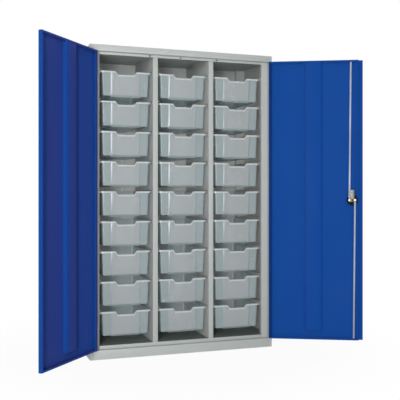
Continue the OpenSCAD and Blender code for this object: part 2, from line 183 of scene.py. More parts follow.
def copyPiece(piece, name):  # with a mesh of its own
    twin = piece.copy()
    twin.data = piece.data.copy()
    twin.name = name
    bpy.context.scene.collection.objects.link(twin)
    return twin


def movePiece(piece, matrix):
    choose(piece)
    piece.matrix_world = matrix @ piece.matrix_world
    bpy.ops.object.transform_apply(location=True, rotation=True, scale=True)


def faceOut(piece):
    startEdit(piece)
    bpy.ops.mesh.select_all(action="SELECT")
    bpy.ops.mesh.normals_make_consistent(inside=False)
    endEdit()


def roundFolds(node, width):  # a copy of a CAD node whose sharp edges are softened
    piece = copyPiece(nodes[node], node.replace("_", "") + "Soft")
    startEdit(piece, "VERT")
    bpy.ops.mesh.select_all(action="SELECT")
    bpy.ops.mesh.remove_doubles(threshold=speck)
    bpy.ops.mesh.dissolve_limited(angle_limit=math.radians(2))
    endEdit()
    softenEdges(piece, width)
    smoothFaces(piece)
    return piece


def dress(piece, material, slot, body, *replaced):  # no material: the piece has its own already
    if material:
        piece.data.materials.clear()
        piece.data.materials.append(material)
    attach(piece, body)
    if replaced:
        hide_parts(*replaced)
    return piece


def groupSocket(group, name, kind, way, value=None):
    socket = group.interface.new_socket(name=name, in_out=way, socket_type=kind)
    if value is not None:
        socket.default_value = value
    return socket


def makeGrainGroup():  # fine orange-peel or moulding grain: a bumped normal and a roughness value
    group = bpy.data.node_groups.new("surfaceGrain", "ShaderNodeTree")
    groupSocket(group, "Scale", "NodeSocketFloat", "INPUT", 900.0)
    groupSocket(group, "Depth", "NodeSocketFloat", "INPUT", 0.1)
    groupSocket(group, "Rough Low", "NodeSocketFloat", "INPUT", 0.35)
    groupSocket(group, "Rough High", "NodeSocketFloat", "INPUT", 0.5)
    groupSocket(group, "Normal", "NodeSocketVector", "OUTPUT")
    groupSocket(group, "Roughness", "NodeSocketFloat", "OUTPUT")
    add, link = group.nodes.new, group.links.new
    given, result = add("NodeGroupInput"), add("NodeGroupOutput")
    place = add("ShaderNodeTexCoord")
    fine = add("ShaderNodeTexNoise")
    fine.inputs["Detail"].default_value = 2
    broad = add("ShaderNodeTexNoise")
    broad.inputs["Scale"].default_value = 6
    broad.inputs["Detail"].default_value = 4
    bump = add("ShaderNodeBump")
    bump.inputs["Distance"].default_value = 0.0004
    spread = add("ShaderNodeMapRange")
    spread.inputs["From Min"].default_value = 0.35
    spread.inputs["From Max"].default_value = 0.65
    link(place.outputs["Object"], fine.inputs["Vector"])
    link(place.outputs["Object"], broad.inputs["Vector"])
    link(given.outputs["Scale"], fine.inputs["Scale"])
    link(given.outputs["Depth"], bump.inputs["Strength"])
    link(fine.outputs["Fac"], bump.inputs["Height"])
    link(broad.outputs["Fac"], spread.inputs["Value"])
    link(given.outputs["Rough Low"], spread.inputs["To Min"])
    link(given.outputs["Rough High"], spread.inputs["To Max"])
    link(bump.outputs["Normal"], result.inputs["Normal"])
    link(spread.outputs["Result"], result.inputs["Roughness"])
    return group


def makeToneGroup():  # slow colour drift and a little dust on faces that look up
    group = bpy.data.node_groups.new("toneAndDust", "ShaderNodeTree")
    groupSocket(group, "Colour", "NodeSocketColor", "INPUT", (0.5, 0.5, 0.5, 1))
    groupSocket(group, "Drift", "NodeSocketFloat", "INPUT", 0.06)
    groupSocket(group, "Dust", "NodeSocketFloat", "INPUT", 0.1)
    groupSocket(group, "Colour", "NodeSocketColor", "OUTPUT")
    add, link = group.nodes.new, group.links.new
    given, result = add("NodeGroupInput"), add("NodeGroupOutput")
    place = add("ShaderNodeTexCoord")
    cloud = add("ShaderNodeTexNoise")
    cloud.inputs["Scale"].default_value = 3.5
    cloud.inputs["Detail"].default_value = 5
    centred = add("ShaderNodeMath")
    centred.operation = "SUBTRACT"
    centred.inputs[1].default_value = 0.5
    swing = add("ShaderNodeMath")
    swing.operation = "MULTIPLY_ADD"
    swing.inputs[2].default_value = 1.0
    scaled = add("ShaderNodeVectorMath")
    scaled.operation = "SCALE"
    up = add("ShaderNodeSeparateXYZ")
    shape = add("ShaderNodeNewGeometry")
    facing = add("ShaderNodeMapRange")
    facing.inputs["From Min"].default_value = 0.6
    specks = add("ShaderNodeTexNoise")
    specks.inputs["Scale"].default_value = 40
    specks.inputs["Detail"].default_value = 6
    amount = add("ShaderNodeMath")
    amount.operation = "MULTIPLY"
    share = add("ShaderNodeMath")
    share.operation = "MULTIPLY"
    mix = add("ShaderNodeMix")
    mix.data_type = "RGBA"
    mix.inputs["B"].default_value = (0.45, 0.43, 0.39, 1)
    link(place.outputs["Object"], cloud.inputs["Vector"])
    link(cloud.outputs["Fac"], centred.inputs[0])
    link(centred.outputs[0], swing.inputs[0])
    link(given.outputs["Drift"], swing.inputs[1])
    link(given.outputs["Colour"], scaled.inputs[0])
    link(swing.outputs[0], scaled.inputs["Scale"])
    link(shape.outputs["Normal"], up.inputs[0])
    link(up.outputs["Z"], facing.inputs["Value"])
    link(place.outputs["Object"], specks.inputs["Vector"])
    link(facing.outputs["Result"], amount.inputs[0])
    link(specks.outputs["Fac"], amount.inputs[1])
    link(amount.outputs[0], share.inputs[0])
    link(given.outputs["Dust"], share.inputs[1])
    link(share.outputs[0], mix.inputs["Factor"])
    link(scaled.outputs[0], mix.inputs["A"])
    link(mix.outputs["Result"], result.inputs["Colour"])
    return group


grainGroup = makeGrainGroup()
toneGroup = makeToneGroup()


# grain: scale and depth of the fine bumps, rough: lowest and highest roughness, plain: sockets
# that keep one value
def newMaterial(name, colour, grain, rough, drift=0.06, dust=0.08, **plain):
    material = bpy.data.materials.new(name)
    material.use_nodes = True
    tree = material.node_tree
    shader = tree.nodes["Principled BSDF"]
    tone = tree.nodes.new("ShaderNodeGroup")
    tone.node_tree = toneGroup
    tone.inputs["Colour"].default_value = (*colour, 1)
    tone.inputs["Drift"].default_value = drift
    tone.inputs["Dust"].default_value = dust
    skin = tree.nodes.new("ShaderNodeGroup")
    skin.node_tree = grainGroup
    skin.inputs["Scale"].default_value = grain[0]
    skin.inputs["Depth"].default_value = grain[1]
    skin.inputs["Rough Low"].default_value = rough[0]
    skin.inputs["Rough High"].default_value = rough[1]
    tree.links.new(tone.outputs["Colour"], shader.inputs["Base Color"])
    tree.links.new(skin.outputs["Normal"], shader.inputs["Normal"])
    tree.links.new(skin.outputs["Roughness"], shader.inputs["Roughness"])
    for key, value in plain.items():
        shader.inputs[key.replace("_", " ")].default_value = value
    return material


tint = {
    # the darker navy leaf colour is painted shade along the doors' hinge edges
    "body": (0.405, 0.425, 0.410), "door": (0.004, 0.055, 0.262), "leaf": (0.004, 0.026, 0.14),
    # the dark grey sheet colour is painted shade on the cabinet's inner floor
    "baseShadePaint": (0.115, 0.145, 0.128), "doorSheen": (1.0, 0.0, 0.5, 1.0),
    "zinc": (0.55, 0.55, 0.53), "cam": (0.175, 0.162, 0.128), "rod": (0.22, 0.245, 0.315),
    # the second hinge colour is a darker copy of the first
    "hinge": (0.31, 0.41, 0.50), "hingeDarker": (0.20, 0.29, 0.38),
    "black": (0.005, 0.007, 0.0072), "rubber": (0.014, 0.014, 0.014),
    # the lighter rim colour is partly a painted highlight on the tray rims
    "tray": (0.33, 0.395, 0.405), "trayPanel": (0.365, 0.395, 0.395), "trayRimHighlight": (0.48, 0.52, 0.52),
}

bodyPaint = newMaterial("bodyPaint", tint["body"], (700, 0.12), (0.42, 0.52),
                        Specular_IOR_Level=0.3)
doorPaint = newMaterial("doorPaint", tint["door"], (700, 0.12), (0.42, 0.52), dust=0.0,
                        Specular_IOR_Level=0.02, Sheen_Weight=0.075, Sheen_Roughness=0.55,
                        Sheen_Tint=tint["doorSheen"])
# the body's sheet paint darkened: painted shade for the cabinet's inner floor
baseShadePaint = newMaterial("baseShadePaint", tint["baseShadePaint"], (500, 0.1), (0.3, 0.42), drift=0.12,
                         Specular_IOR_Level=0.3)
zincSteel = newMaterial("zincSteel", tint["zinc"], (1400, 0.1), (0.28, 0.42), Metallic=1.0)
camSteel = newMaterial("camSteel", tint["cam"], (900, 0.15), (0.35, 0.5), Metallic=0.6)
rodSteel = newMaterial("rodSteel", tint["rod"], (900, 0.15), (0.45, 0.6), Metallic=0.4)
blackPlastic = newMaterial("blackPlastic", tint["black"], (1200, 0.25), (0.35, 0.5),
                           Specular_IOR_Level=0.05)
hingeSteel = newMaterial("hingeSteel", tint["hinge"], (900, 0.15), (0.4, 0.55), Metallic=0.2)
# a darker copy of the hinge steel, on the door leaves' knuckles, so the barrel alternates light and
# dark
hingeDarker = newMaterial("hingeDarker", tint["hingeDarker"], (900, 0.15), (0.4, 0.55), Metallic=0.2)
# a darker navy than the door: painted shade, on the hinge leaf plates and the right door's
# hinge-side lip
leafShadePaint = newMaterial("leafShadePaint", tint["leaf"], (700, 0.12), (0.45, 0.55), dust=0.0,
                        Specular_IOR_Level=0.02)
rubber = newMaterial("rubber", tint["rubber"], (1600, 0.3), (0.6, 0.75))


def newPlastic(name, colour, seen, passed):  # seen: opacity to the eye, passed: to light
    material = newMaterial(name, colour, (180, 0.0), (0.20, 0.28), drift=0.03, dust=0.0,
                           Specular_IOR_Level=0.6)
    tree = material.node_tree
    path = tree.nodes.new("ShaderNodeLightPath")
    blend = tree.nodes.new("ShaderNodeMath")
    blend.operation = "MULTIPLY_ADD"
    blend.inputs[1].default_value = passed - seen
    blend.inputs[2].default_value = seen
    soft = tree.nodes.new("ShaderNodeMath")
    soft.operation = "MAXIMUM"
    tree.links.new(path.outputs["Is Shadow Ray"], soft.inputs[0])
    tree.links.new(path.outputs["Is Diffuse Ray"], soft.inputs[1])
    tree.links.new(soft.outputs[0], blend.inputs[0])
    tree.links.new(blend.outputs[0], tree.nodes["Principled BSDF"].inputs["Alpha"])
    return material


trayPlastic = newPlastic("trayPlastic", tint["tray"], 0.52, 0.14)
trayPanel = newPlastic("trayPanel", tint["trayPanel"], 0.58, 0.14)
# the rim is thicker, more opaque plastic; its lighter colour is partly a painted highlight
trayRimHighlight = newPlastic("trayRimHighlight", tint["trayRimHighlight"], 0.75, 0.14)

slotMaterial = {
    "body_paint": bodyPaint, "door_paint": doorPaint, "tray_plastic": trayPlastic,
    "zinc_steel": zincSteel, "cam_steel": camSteel, "rod_steel": rodSteel,
    "black_plastic": blackPlastic, "rubber": rubber,
}
for part in frame["record"]["subparts"]:
    mesh = nodes[part["node"]].data
    mesh.materials.clear()
    mesh.materials.append(slotMaterial[part["material_slot"]])
print("materials on", len(nodes), "nodes")

tray = {
    "width": 0.312, "length": 0.427, "height": 0.150, "corner": 0.022,
    "overhang": 0.013, "frontOverhang": 0.009, "lip": 0.010, "wall": 0.002,
    "taper": 0.007, "wallLength": 0.4, "floorRound": 0.005,
    "foot": 0.005, "footHalf": 0.090, "footStep": 0.003,
    "dip": 0.020, "dipHalf": 0.050, "dipSlope": 0.014, "panel": 0.0032, "panelStep": 0.008,
    "edge": 0.0008, "rimBand": 0.004,
    "rimTo": 0.0125, "wallFrom": 0.006, "frontTo": 0.03,  # depths of the rim and of the front wall
    "frontSide": 0.014, "dipFrom": 0.13,
}


def cutLines(piece, axis, places):  # in edit mode: lines round the mesh, across axis 0, 1 or 2
    for place in places:
        point, way = [0, 0, 0], [0, 0, 0]
        point[axis], way[axis] = place, 1
        bpy.ops.mesh.select_all(action="SELECT")
        bpy.ops.mesh.bisect(plane_co=point, plane_no=way)


def giveSlot(piece, index, test):  # in edit mode: the picked faces get this material slot
    pickFaces(piece, test)
    piece.active_material_index = index
    bpy.ops.object.material_slot_assign()


def makeTray(t):
    width, length, height = t["width"], t["length"], t["height"]
    clearSelection()
    bpy.ops.mesh.primitive_plane_add(size=1, location=(0, length / 2, height))
    piece = bpy.context.active_object
    piece.scale = (width, length, 1)
    bpy.ops.object.transform_apply(location=True, rotation=True, scale=True)
    for material in (trayPlastic, trayPanel, trayRimHighlight):
        piece.data.materials.append(material)
    startEdit(piece, "VERT")
    bpy.ops.mesh.select_all(action="SELECT")
    bpy.ops.mesh.bevel(offset=t["corner"], segments=8, affect="VERTICES")
    # rim, then the walls down to the floor
    bpy.ops.mesh.select_mode(type="FACE")
    bpy.ops.mesh.select_all(action="SELECT")
    bpy.ops.mesh.inset(thickness=t["overhang"] + t["wall"], use_even_offset=True)
    pickPoints(piece, lambda p: t["frontOverhang"] < p.y < t["frontTo"]
               and abs(p.x) < width / 2 - t["frontSide"])
    bpy.ops.transform.translate(value=(0, t["frontOverhang"] - t["overhang"], 0))
    middleY, floorZ = length / 2, t["foot"] + t["wall"]
    pickFaces(piece, lambda c, n: abs(c.x) < t["corner"] and abs(c.y - middleY) < t["corner"])
    bpy.ops.mesh.extrude_region_move(TRANSFORM_OT_translate={"value": (0, 0, floorZ - height)})
    halfTop = width / 2 - t["overhang"] - t["wall"]
    shrink = ((halfTop - t["taper"]) / halfTop, 1 - 2 * t["taper"] / t["wallLength"], 1)
    bpy.ops.transform.resize(value=shrink, center_override=(0, middleY, floorZ))
    pickEdges(piece, lambda c, way, faces: abs(c.z - floorZ) < hair)
    bpy.ops.mesh.bevel(offset=t["floorRound"], segments=3)
    # turned-down edge
    pickEdges(piece, lambda c, way, faces: faces == 1)
    bpy.ops.mesh.extrude_edges_move(TRANSFORM_OT_translate={"value": (0, 0, -t["lip"])})
    # lines for the dip, the front panel and the foot
    flat, slope = t["dipHalf"], t["dipSlope"]
    for side in (-1, 1):
        cutLines(piece, 0, [side * flat, side * (flat + slope), side * t["footHalf"]])
    pickFaces(piece, lambda c, n: abs(c.x) < t["footHalf"] and c.z < floorZ + hair and n.z > along)
    bpy.ops.mesh.inset(thickness=t["footStep"])
    bpy.ops.transform.translate(value=(0, 0, -t["foot"]))
    pickPoints(piece, lambda p: p.y < t["rimTo"] and abs(p.x) < flat + near and p.z > t["dipFrom"])
    bpy.ops.transform.translate(value=(0, 0, -t["dip"]))
    # rim faces get the lighter, more opaque rim plastic, its lightness partly a painted highlight
    giveSlot(piece, 2, lambda c, n: c.z > height - t["dip"] - t["lip"] and (
        c.y < t["rimTo"] or n.z > along or abs(c.x) > width / 2 - t["rimBand"]
        or c.y > length - t["rimBand"]))
    pickFaces(piece, lambda c, n: abs(n.y) > along and t["wallFrom"] < c.y < t["frontTo"]
              and abs(c.x) < t["footHalf"])
    bpy.ops.mesh.inset(thickness=t["panelStep"])
    bpy.ops.transform.translate(value=(0, -t["panel"], 0))
    piece.active_material_index = 1
    bpy.ops.object.material_slot_assign()
    endEdit()
    applyModifier(piece, "SOLIDIFY", thickness=t["wall"], offset=-1, use_quality_normals=True)
    softenEdges(piece, t["edge"], angle=30)
    smoothFaces(piece, 14)
    return piece


firstTray = makeTray(tray)
for column in (1, 2, 3):
    for row in range(1, 10):
        name = f"tray_c{column}_r{row}"
        low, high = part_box(name)
        piece = copyPiece(firstTray, f"tray{column}{row}")
        movePiece(piece, Matrix.Translation(((low.x + high.x) / 2, low.y, low.z)))
        dress(piece, None, "tray_plastic", name, name)
bpy.data.objects.remove(firstTray)
print("trays hung")


body = {
    "fold": 0.0006, "thinFold": 0.0003, "bufferRound": 0.0008, "rivetRound": 0.0006,
    "bayHalf": 0.162, "bayStep": 0.354, "backSheet": 0.001, "backRound": 0.0004,
    "grooveHalf": 0.0132, "grooveDepth": 0.0029, "grooveSlope": 0.0058,
    "grooveLow": 0.105, "grooveHigh": 1.778,
}


def makeBack():  # the pressed ribs of the back sheet show as grooves from behind
    b, (low, high) = body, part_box("back_panel")
    sheet = newBlock("backSheet", (low.x, high.y - b["backSheet"], low.z), high)
    startEdit(sheet)
    pickFaces(sheet, lambda c, n: n.y < along)
    bpy.ops.mesh.delete(type="FACE")
    ribs = [column * b["bayStep"] + side * b["bayHalf"] / 2
            for column in (-1, 0, 1) for side in (-1, 1)]
    for x in ribs:
        cutLines(sheet, 0, [x - b["grooveHalf"], x + b["grooveHalf"]])
    cutLines(sheet, 2, [b["grooveLow"], b["grooveHigh"]])
    pickFaces(sheet, lambda c, n: b["grooveLow"] < c.z < b["grooveHigh"]
              and min(abs(c.x - x) for x in ribs) < near)
    bpy.ops.mesh.inset(thickness=b["grooveSlope"])
    bpy.ops.transform.translate(value=(0, -b["grooveDepth"], 0))
    endEdit()
    applyModifier(sheet, "SOLIDIFY", thickness=b["backSheet"], offset=-1, use_even_offset=True)
    softenEdges(sheet, b["backRound"], angle=20)
    smoothFaces(sheet)
    return sheet


dress(makeBack(), bodyPaint, "body_paint", "cabinet", "back_panel")
for node in ("left_side_panel", "right_side_panel", "header_rail", "plinth", "top_panel",
             "base_panel", "left_divider", "right_divider"):
    # the inner floor gets the darkened sheet paint as painted shade
    paintHere = baseShadePaint if node == "base_panel" else bodyPaint
    dress(roundFolds(node, body["fold"]), paintHere, "body_paint", "cabinet", node)
for node in ("left_wall_runners", "left_divider_runners", "right_divider_runners",
             "right_wall_runners", "runner_posts"):
    dress(roundFolds(node, body["thinFold"]), bodyPaint, "body_paint", "cabinet", node)
dress(roundFolds("door_buffers", body["bufferRound"]), rubber, "rubber", "cabinet",
      "door_buffers")
dress(roundFolds("frame_rivets", body["rivetRound"]), zincSteel, "zinc_steel", "cabinet",
      "frame_rivets")
print("body folded")


door = {
    "hingeEdge": 0.0235, "freeEdge": 0.573, "low": 0.058, "high": 1.790,
    "depth": 0.022, "sheet": 0.0012, "lip": 0.012, "hingeLip": 0.018, "fold": 0.002,
    "hinge": (0.022, -0.0035), "leftOpen": 131, "rightOpen": 154,
    "hatHalf": 0.050, "hatFlange": 0.012, "hatLow": 0.113, "hatHigh": 1.782,
    "hatCrown": 0.0206, "hatSheet": 0.001,
    "stripReach": 0.028, "stripFront": -0.0017, "stripSheet": 0.0012, "stripBack": 0.012,
    "stripRound": 0.0004,
}
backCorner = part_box("back_panel")[1]
bodyHalf, bodyBack = backCorner.x, backCorner.y


def stand(piece, side):  # from the corner of the body's outer side and front to its own place
    place = Matrix.Translation((side * bodyHalf, -bodyBack, 0))
    if side > 0:
        place = place @ Matrix.Scale(-1, 4, (1, 0, 0))
    movePiece(piece, place)
    if side > 0:
        faceOut(piece)
    return piece


def hang(piece, side):  # the same, then swung open about the hinge pin
    stand(piece, side)
    angle = math.radians(-door["leftOpen"] if side < 0 else door["rightOpen"])
    pin = Matrix.Translation((side * (bodyHalf - door["hinge"][0]), door["hinge"][1] - bodyBack, 0))
    movePiece(piece, pin @ Matrix.Rotation(angle, 4, "Z") @ pin.inverted())
    return piece


def makePan(name):
    d = door
    ends = ((d["hingeEdge"], d["freeEdge"]), (0, d["depth"]), (d["low"], d["high"]))
    piece = newBlock(name, [end[0] for end in ends], [end[1] for end in ends])
    startEdit(piece)
    pickFaces(piece, lambda c, n: n.y > along)
    bpy.ops.mesh.inset(thickness=d["lip"])
    pickPoints(piece, lambda p: abs(p.x - d["hingeEdge"] - d["lip"]) < hair)
    bpy.ops.transform.translate(value=(d["hingeLip"] - d["lip"], 0, 0))
    inner = 2 * d["hingeLip"]  # the open middle's own middle lies further in than this
    pickFaces(piece, lambda c, n: n.y > along and c.x > d["hingeEdge"] + inner
              and c.x < d["freeEdge"] - inner and d["low"] + inner < c.z < d["high"] - inner)
    bpy.ops.mesh.delete(type="FACE")
    # the edges that lie on two of the outer planes
    pickEdges(piece, lambda c, way, faces: sum(
        min(abs(c[i] - ends[i][0]), abs(c[i] - ends[i][1])) < speck for i in range(3)) == 2)
    bpy.ops.mesh.bevel(offset=d["fold"], segments=3, affect="EDGES")
    endEdit()
    applyModifier(piece, "SOLIDIFY", thickness=d["sheet"], offset=-1, use_even_offset=True)
    return piece


def makeHat(name):
    d = door
    middle, foot = (d["hingeEdge"] + d["freeEdge"]) / 2, d["sheet"] + d["hatSheet"]
    piece = newBlock(name, (middle - d["hatHalf"], foot, d["hatLow"]),
                     (middle + d["hatHalf"], d["hatCrown"], d["hatHigh"]))
    startEdit(piece)
    pickFaces(piece, lambda c, n: n.y < -along or abs(n.z) > along)
    bpy.ops.mesh.delete(type="FACE")
    for side in (-1, 1):
        pickEdges(piece, lambda c, way, faces, s=side: faces == 1 and abs(way.z) > along
                  and (c.x - middle) * s > 0)
        bpy.ops.mesh.extrude_edges_move(
            TRANSFORM_OT_translate={"value": (side * d["hatFlange"], 0, 0)})
    pickEdges(piece, lambda c, way, faces: faces == 2)
    bpy.ops.mesh.bevel(offset=d["fold"], segments=3, affect="EDGES")
    endEdit()
    applyModifier(piece, "SOLIDIFY", thickness=d["hatSheet"], offset=-1, use_even_offset=True)
    return piece


def makeStrip(name):  # the closing strip on the right door's free edge
    d = door
    end = (d["freeEdge"] + d["stripReach"], d["stripFront"] + d["stripSheet"], d["high"])
    piece = newBlock(name, (d["freeEdge"], d["stripFront"], d["low"]), end)
    startEdit(piece)
    cutLines(piece, 0, [d["freeEdge"] + d["stripSheet"]])
    pickFaces(piece, lambda c, n: n.y > along and c.x < d["freeEdge"] + d["stripSheet"])
    bpy.ops.mesh.extrude_region_move(TRANSFORM_OT_translate={
        "value": (0, d["stripBack"] - d["stripFront"] - d["stripSheet"], 0)})
    endEdit()
    softenEdges(piece, d["stripRound"])
    return piece


lock = {
    "x": 0.5354, "z": 0.924, "cup": 0.034, "flange": 0.036, "depth": 0.013, "wall": 0.0025,
    "cavity": 0.011, "spindle": 0.006, "crank": 0.017, "rodY": 0.0135, "rodThick": 0.003,
    "slotWide": 0.020, "slotShift": 0.0102, "slotPlay": 0.0005, "slotHalf": 0.015,
    "camY": 0.023, "camThick": 0.003, "barrelBack": 0.003,
    "play": 0.0003, "past": 0.001, "cutFrom": -0.01,  # cutters reach past what they cut
    "lipCut": 0.003,
    "small": 0.0005,  # rounding of the small metal parts
}


def atLock(x, y, z):
    return (lock["x"] + x, y, lock["z"] + z)


def lockRod(radius, y0, y1, x=0, sides=32):
    return newRod("part", atLock(x, (y0 + y1) / 2, 0), radius, y1 - y0, "Y", sides)


def lockBlock(x0, x1, y0, y1, z0, z1):
    return newBlock("part", atLock(x0, y0, z0), atLock(x1, y1, z1))


def rodSlot(x, z):  # a cutter for a rod's slot
    k, half = lock, lock["slotWide"] / 2
    return newBlock("slot", (x - half, k["rodY"] - k["slotPlay"], z - k["slotHalf"]),
                    (x + half, k["rodY"] + k["rodThick"] + k["slotPlay"], z + k["slotHalf"]))


for side, name in ((-1, "left"), (1, "right")):
    pan = makePan(name + "DoorPan")
    if side > 0:
        cutWith(pan, lockRod(lock["cup"] + lock["play"], lock["cutFrom"],
                             door["sheet"] + lock["past"], sides=64))
        cutWith(pan, lockRod(lock["flange"], door["depth"] - lock["lipCut"],
                             door["depth"] + lock["past"], sides=64))
        cutWith(pan, rodSlot(lock["x"] - lock["slotShift"], door["high"]))
        cutWith(pan, rodSlot(lock["x"] + lock["slotShift"], door["low"]))
    smoothFaces(pan)
    pan.data.materials.append(doorPaint)
    # the right door's hinge-side lip takes the darker navy as painted shade along the hinge
    pan.data.materials.append(leafShadePaint if side > 0 else doorPaint)
    startEdit(pan)
    giveSlot(pan, 1, lambda c, n: n.y > along and c.x < door["hingeEdge"] + door["hingeLip"])
    endEdit()
    dress(hang(pan, side), None, "door_paint", name + "_door", name + "_door_panel")
    hat = makeHat(name + "DoorHat")
    smoothFaces(hat)
    dress(hang(hat, side), doorPaint, "door_paint", name + "_door", name + "_door_stiffener")
dress(hang(makeStrip("closingStrip"), 1), doorPaint, "door_paint", "right_door", "closing_strip")
print("doors hung")


hinge = {
    "knuckles": 200, "sides": 12, "barrel": 0.0035, "pin": 0.00155, "leaf": 0.0012, "play": 0.0003,
    "frameEdge": 0.0205, "doorEdge": 0.0223, "wrapFront": -0.0012, "wrapBack": 0.0005,
    "plateFront": 0.0003, "plateShort": 0.002, "plateRound": 0.0003,
}


def makeLeaf(name, edge, first, metal, coat):  # first: 0 or 1, which of each two knuckles it has
    h, d = hinge, door
    pitch = (d["high"] - d["low"]) / h["knuckles"]
    centre = d["low"] + (first + 0.5) * pitch
    half = (pitch - h["play"]) / 2
    knuckle = newRod("knuckle", (*d["hinge"], centre), h["barrel"], 2 * half, "Z", h["sides"])
    startEdit(knuckle)
    pickFaces(knuckle, lambda c, n: abs(n.z) > along)
    bpy.ops.mesh.inset(thickness=h["barrel"] - h["pin"])
    bpy.ops.mesh.bridge_edge_loops()
    endEdit()
    wrap = newBlock("wrap", (edge, h["wrapFront"], centre - half),
                    (edge + h["leaf"], h["wrapBack"], centre + half))
    knuckle = joinPieces("knuckle", [knuckle, wrap])
    applyModifier(knuckle, "ARRAY", fit_type="FIXED_COUNT", count=h["knuckles"] // 2,
                  use_relative_offset=False, use_constant_offset=True,
                  constant_offset_displace=(0, 0, 2 * pitch))
    plate = newBlock("plate", (edge, h["plateFront"], d["low"]),
                     (edge + h["leaf"], d["depth"] - h["plateShort"], d["high"]))
    softenEdges(plate, h["plateRound"])
    knuckle.data.materials.append(metal)
    plate.data.materials.append(coat)
    leaf = joinPieces(name, [knuckle, plate])
    smoothFaces(leaf, 40)
    return leaf


for side, name in ((-1, "left"), (1, "right")):
    leaf = stand(makeLeaf(name + "FrameLeaf", hinge["frameEdge"], 0, hingeSteel, bodyPaint), side)
    dress(leaf, None, "body_paint", "cabinet", name + "_hinge_frame_leaf")
    # the door leaf plates are coated in the darker navy, painted shade along the hinge edge
    leaf = hang(makeLeaf(name + "DoorLeaf", hinge["doorEdge"], 1, hingeDarker, leafShadePaint), side)
    dress(leaf, None, "door_paint", name + "_door", name + "_hinge_door_leaf")
print("hinges fitted")


cupSize = {
    "front": 0.001, "backRim": 0.005, "backDish": 0.0009, "backRing": 0.0205, "backRise": 0.0013,
    "boss": 0.0085, "flangeThick": 0.002, "round": 0.0006,
}


def makeHousing():
    k, c = lock, cupSize

    def push(depth):
        bpy.ops.mesh.extrude_region_move(TRANSFORM_OT_translate={"value": (0, depth, 0)})

    cup = lockRod(k["cup"], -c["front"], k["depth"], sides=64)
    startEdit(cup)
    pickFaces(cup, lambda m, n: n.y < -along)
    bpy.ops.mesh.inset(thickness=k["wall"])
    push(k["cavity"] + c["front"])
    bpy.ops.mesh.inset(thickness=k["cup"] - k["wall"] - k["spindle"] - hair)
    pickFaces(cup, lambda m, n: n.y > along and m.y > k["depth"] - near)
    bpy.ops.mesh.inset(thickness=c["backRim"])
    push(-c["backDish"])
    bpy.ops.mesh.inset(thickness=c["backRing"])
    push(c["backRise"])
    bpy.ops.mesh.inset(thickness=c["boss"] - k["spindle"] - hair)
    middle = Vector(atLock(0, 0, 0))
    pickFaces(cup, lambda m, n: abs(n.y) > along and abs(m.x - middle.x) < hair
              and abs(m.z - middle.z) < hair)
    bpy.ops.mesh.bridge_edge_loops()
    endEdit()
    ring = lockRod(k["flange"], -c["flangeThick"], 0, sides=64)
    startEdit(ring)
    pickFaces(ring, lambda m, n: abs(n.y) > along)
    bpy.ops.mesh.inset(thickness=k["flange"] - k["cup"] + k["wall"])
    bpy.ops.mesh.bridge_edge_loops()
    endEdit()
    housing = joinPieces("handleHousing", [cup, ring])
    softenEdges(housing, c["round"], angle=40)
    smoothFaces(housing, 40)
    return housing


handleSize = {
    "gripHalf": 0.008, "gripFront": -0.001, "gripShort": 0.002, "gripPlay": 0.003,
    "gripTaper": (0.8, 1, 0.94), "gripRound": 0.0025,
    "hub": 0.013, "hubFront": -0.003, "hubRound": 0.0012, "bore": 0.00655,
    "shaftFront": 0.004, "shaftPast": 0.0045, "shaftRound": 0.0006,
}


def makeHandle():
    k, h = lock, handleSize
    reach = k["cup"] - k["wall"] - h["gripPlay"]
    grip = lockBlock(-h["gripHalf"], h["gripHalf"], h["gripFront"], k["cavity"] - h["gripShort"],
                     -reach, reach)
    startEdit(grip)
    pickFaces(grip, lambda c, n: n.y < -along)
    bpy.ops.transform.resize(value=h["gripTaper"], center_override=atLock(0, 0, 0))
    endEdit()
    softenEdges(grip, h["gripRound"], 4)
    hub = lockRod(h["hub"], h["hubFront"], k["cavity"] - k["play"], sides=48)
    softenEdges(hub, h["hubRound"], 3)
    cutWith(hub, lockRod(h["bore"], k["cutFrom"], k["barrelBack"], sides=48))
    shaft = lockRod(k["spindle"], h["shaftFront"], k["camY"] + h["shaftPast"])
    softenEdges(shaft, h["shaftRound"])
    handle = joinPieces("turnHandle", [grip, hub, shaft])
    smoothFaces(handle)
    return handle


barrelSize = {"radius": 0.0065, "front": -0.0036, "keyHalf": 0.001, "keyReach": 0.0035,
              "keyFrom": -0.004, "keyTo": -0.001}


def makeBarrel():
    b = barrelSize
    barrel = lockRod(b["radius"], b["front"], lock["barrelBack"], sides=48)
    softenEdges(barrel, lock["small"])
    cutWith(barrel, lockBlock(-b["keyHalf"], b["keyHalf"], b["keyFrom"], b["keyTo"],
                              -b["keyReach"], b["keyReach"]))
    barrel.name = "lockBarrel"
    smoothFaces(barrel)
    return barrel


camSize = {
    "armWide": 0.018, "tongue": 0.063, "tongueWide": 0.023, "tongueFoot": 0.0011,
    "tongueRound": 0.004, "joggle": 0.044, "joggleRun": 0.003, "joggleStep": 0.0026,
    "boreFrom": 0.02, "boreTo": 0.03,
    "pin": 0.003, "pinInto": 0.0005, "collar": 0.005, "collarInto": 0.0004,
    "head": 0.0048, "headHigh": 0.0016, "lap": 0.0002,
    "nut": 0.0092, "nutHigh": 0.0035, "nutRound": 0.0007, "nutTo": 0.04,
}


